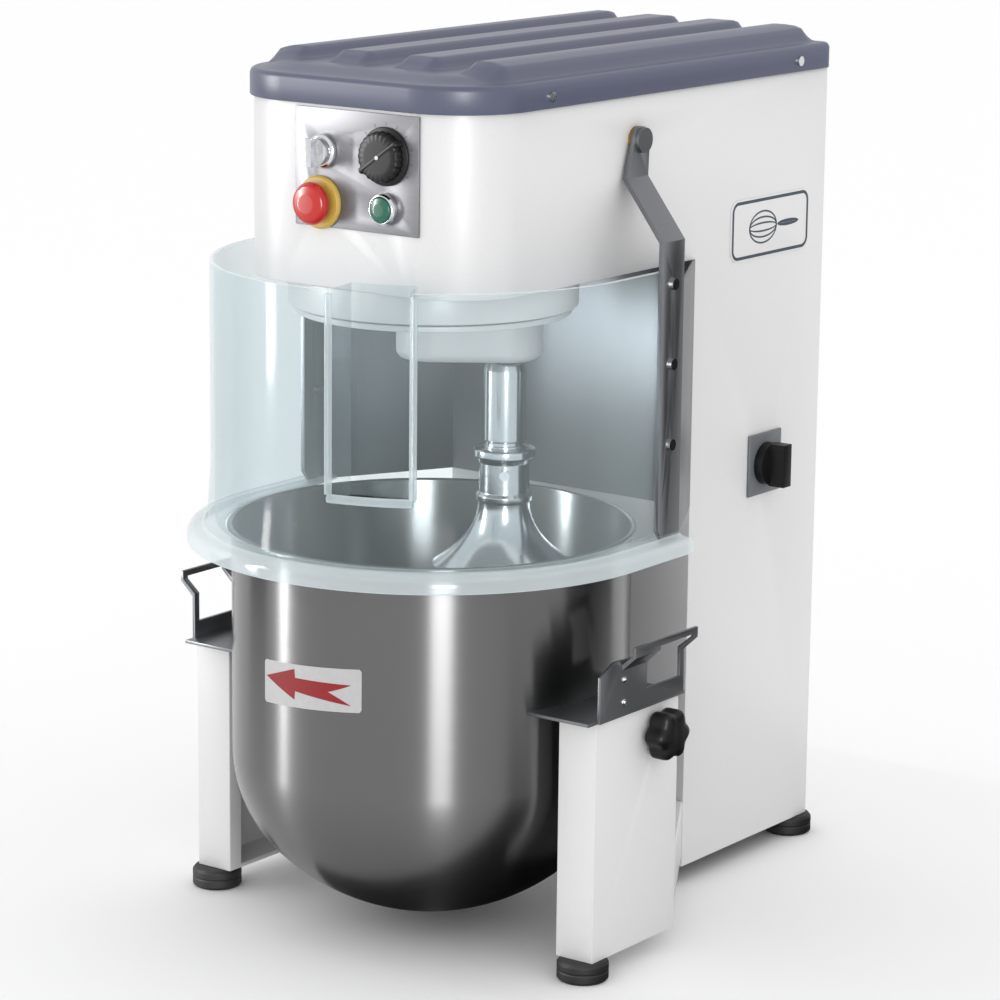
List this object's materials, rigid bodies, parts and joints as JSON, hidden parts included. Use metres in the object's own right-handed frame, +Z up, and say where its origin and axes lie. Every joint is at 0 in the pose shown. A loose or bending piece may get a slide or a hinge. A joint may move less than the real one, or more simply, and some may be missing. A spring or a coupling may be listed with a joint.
{
  "type": "planetary dough mixer",
  "caption": "Bench-height planetary mixer: steel body with a moulded lid, removable steel bowl on two front legs, planetary whisk drive and a clear lift-up guard.",
  "frame": {"origin": "middle of the footprint on the floor, under the bounding box's centre", "axes": "+Z up, -Y towards the front with the controls and the bowl, +X to the side with the main switch"},
  "size_m": [0.541, 0.732, 0.863],
  "materials": {
    "white_paint": "smooth gloss powder coat",
    "lid_plastic": "blue-grey moulded ABS",
    "frame_steel": "zinc-grey sheet steel",
    "rubber": "black rubber",
    "gear_steel": "machined steel",
    "panel_steel": "brushed satin plate",
    "dark_plastic": "black moulded plastic",
    "yellow_plastic": "yellow plastic",
    "red_plastic": "red plastic",
    "green_plastic": "green plastic",
    "chrome": "bright plated",
    "badge": "blank printed plate",
    "dark_stainless": "brushed stainless sheet",
    "motor_paint": "cast aluminium",
    "belt_rubber": "rubber belt",
    "brass": "sintered bronze bush",
    "polished_steel": "polished stainless",
    "bowl_steel": "vertically brushed stainless",
    "label": "vinyl label",
    "guard_clear": "blue-tinted clear polycarbonate"
  },
  "bodies": {
    "frame": {"housing": "white_paint", "lid": "lid_plastic", "rear_cover": "white_paint", "base_plate": "frame_steel", "leg_left": "white_paint", "leg_right": "white_paint", "cradle_arms": "white_paint", "feet": "rubber", "gear_housing": "white_paint", "ring_gear": "gear_steel", "spindle_bearings": "gear_steel", "control_panel": "panel_steel", "switch_bodies": "dark_plastic", "e_stop_collar": "yellow_plastic", "start_bezel": "chrome", "selector_bezel": "chrome", "main_switch_plate": "dark_plastic", "badge_plate": "badge", "lid_screws": "chrome", "rear_cover_screws": "chrome", "rear_shield": "dark_stainless", "motor": "motor_paint", "motor_plate": "frame_steel", "drive_belt": "belt_rubber", "pivot_bushes": "brass", "guard_switch": "yellow_plastic", "inverter": "motor_paint", "cable_gland": "dark_plastic"},
    "bowl": {"bowl": "bowl_steel", "bowl_bracket_left": "dark_stainless", "bowl_bracket_right": "dark_stainless", "rotation_label": "label"},
    "carrier": {"planet_carrier": "white_paint", "main_spindle": "polished_steel", "driven_pulley": "gear_steel", "tool_bearing": "gear_steel"},
    "tool": {"tool_shaft": "polished_steel", "pinion": "gear_steel", "drive_pin": "chrome", "whisk_hub": "polished_steel", "whisk_wires": "polished_steel"},
    "rotor": {"motor_shaft": "polished_steel", "motor_pulley": "gear_steel"},
    "guard": {"guard_shell": "guard_clear", "guard_chute": "guard_clear", "guard_arm_left": "dark_stainless", "guard_arm_right": "dark_stainless", "guard_screws": "chrome", "guard_pivot_pins": "chrome"},
    "e_stop": {"e_stop_button": "red_plastic"},
    "start": {"start_button": "green_plastic"},
    "selector": {"selector_knob": "chrome"},
    "speed": {"speed_knob": "dark_plastic"},
    "main_switch": {"main_switch_knob": "dark_plastic"},
    "clamp_left": {"clamp_knob_left": "dark_plastic"},
    "clamp_right": {"clamp_knob_right": "dark_plastic"}
  },
  "joints": [
    {"name": "carrier_spin", "type": "hinge", "parent": "frame", "child": "carrier", "pos_m": [0, -0.128, 0.612], "axis": [0, 0, 1], "continuous": true},
    {"name": "tool_spin", "type": "hinge", "parent": "carrier", "child": "tool", "pos_m": [0.05641, -0.08656, 0.56], "axis": [0, 0, 1], "continuous": true},
    {"name": "rotor_spin", "type": "hinge", "parent": "frame", "child": "rotor", "pos_m": [0, 0.207, 0.7], "axis": [0, 0, 1], "continuous": true},
    {"name": "guard_hinge", "type": "hinge", "parent": "frame", "child": "guard", "pos_m": [0, -0.007, 0.777], "axis": [-1, 0, 0], "range_deg": [0, 70]},
    {"name": "bowl_lift", "type": "slide", "parent": "frame", "child": "bowl", "axis": [0, 0, 1], "range_m": [0, 0.015]},
    {"name": "e_stop_press", "type": "slide", "parent": "frame", "child": "e_stop", "axis": [0, 1, 0], "range_m": [0, 0.005]},
    {"name": "start_press", "type": "slide", "parent": "frame", "child": "start", "axis": [0, 1, 0], "range_m": [0, 0.003], "stiffness_N_per_m": 300},
    {"name": "selector_turn", "type": "hinge", "parent": "frame", "child": "selector", "pos_m": [-0.025, -0.273, 0.776], "axis": [0, 1, 0], "range_deg": [0, 90]},
    {"name": "speed_turn", "type": "hinge", "parent": "frame", "child": "speed", "pos_m": [0.049, -0.273, 0.777], "axis": [0, 1, 0], "range_deg": [0, 270]},
    {"name": "main_switch_turn", "type": "hinge", "parent": "frame", "child": "main_switch", "pos_m": [0.15, 0.237, 0.421], "axis": [-1, 0, 0], "range_deg": [0, 90]},
    {"name": "clamp_left_turn", "type": "hinge", "parent": "frame", "child": "clamp_left", "pos_m": [-0.245, -0.095, 0.226], "axis": [-1, 0, 0], "range_deg": [0, 360]},
    {"name": "clamp_right_turn", "type": "hinge", "parent": "frame", "child": "clamp_right", "pos_m": [0.245, -0.095, 0.226], "axis": [1, 0, 0], "range_deg": [0, 360]}
  ],
  "couplings": [
    {"joint": "tool_spin", "follows": "carrier_spin", "ratio": -3.5},
    {"joint": "rotor_spin", "follows": "carrier_spin", "ratio": 3.6}
  ]
}
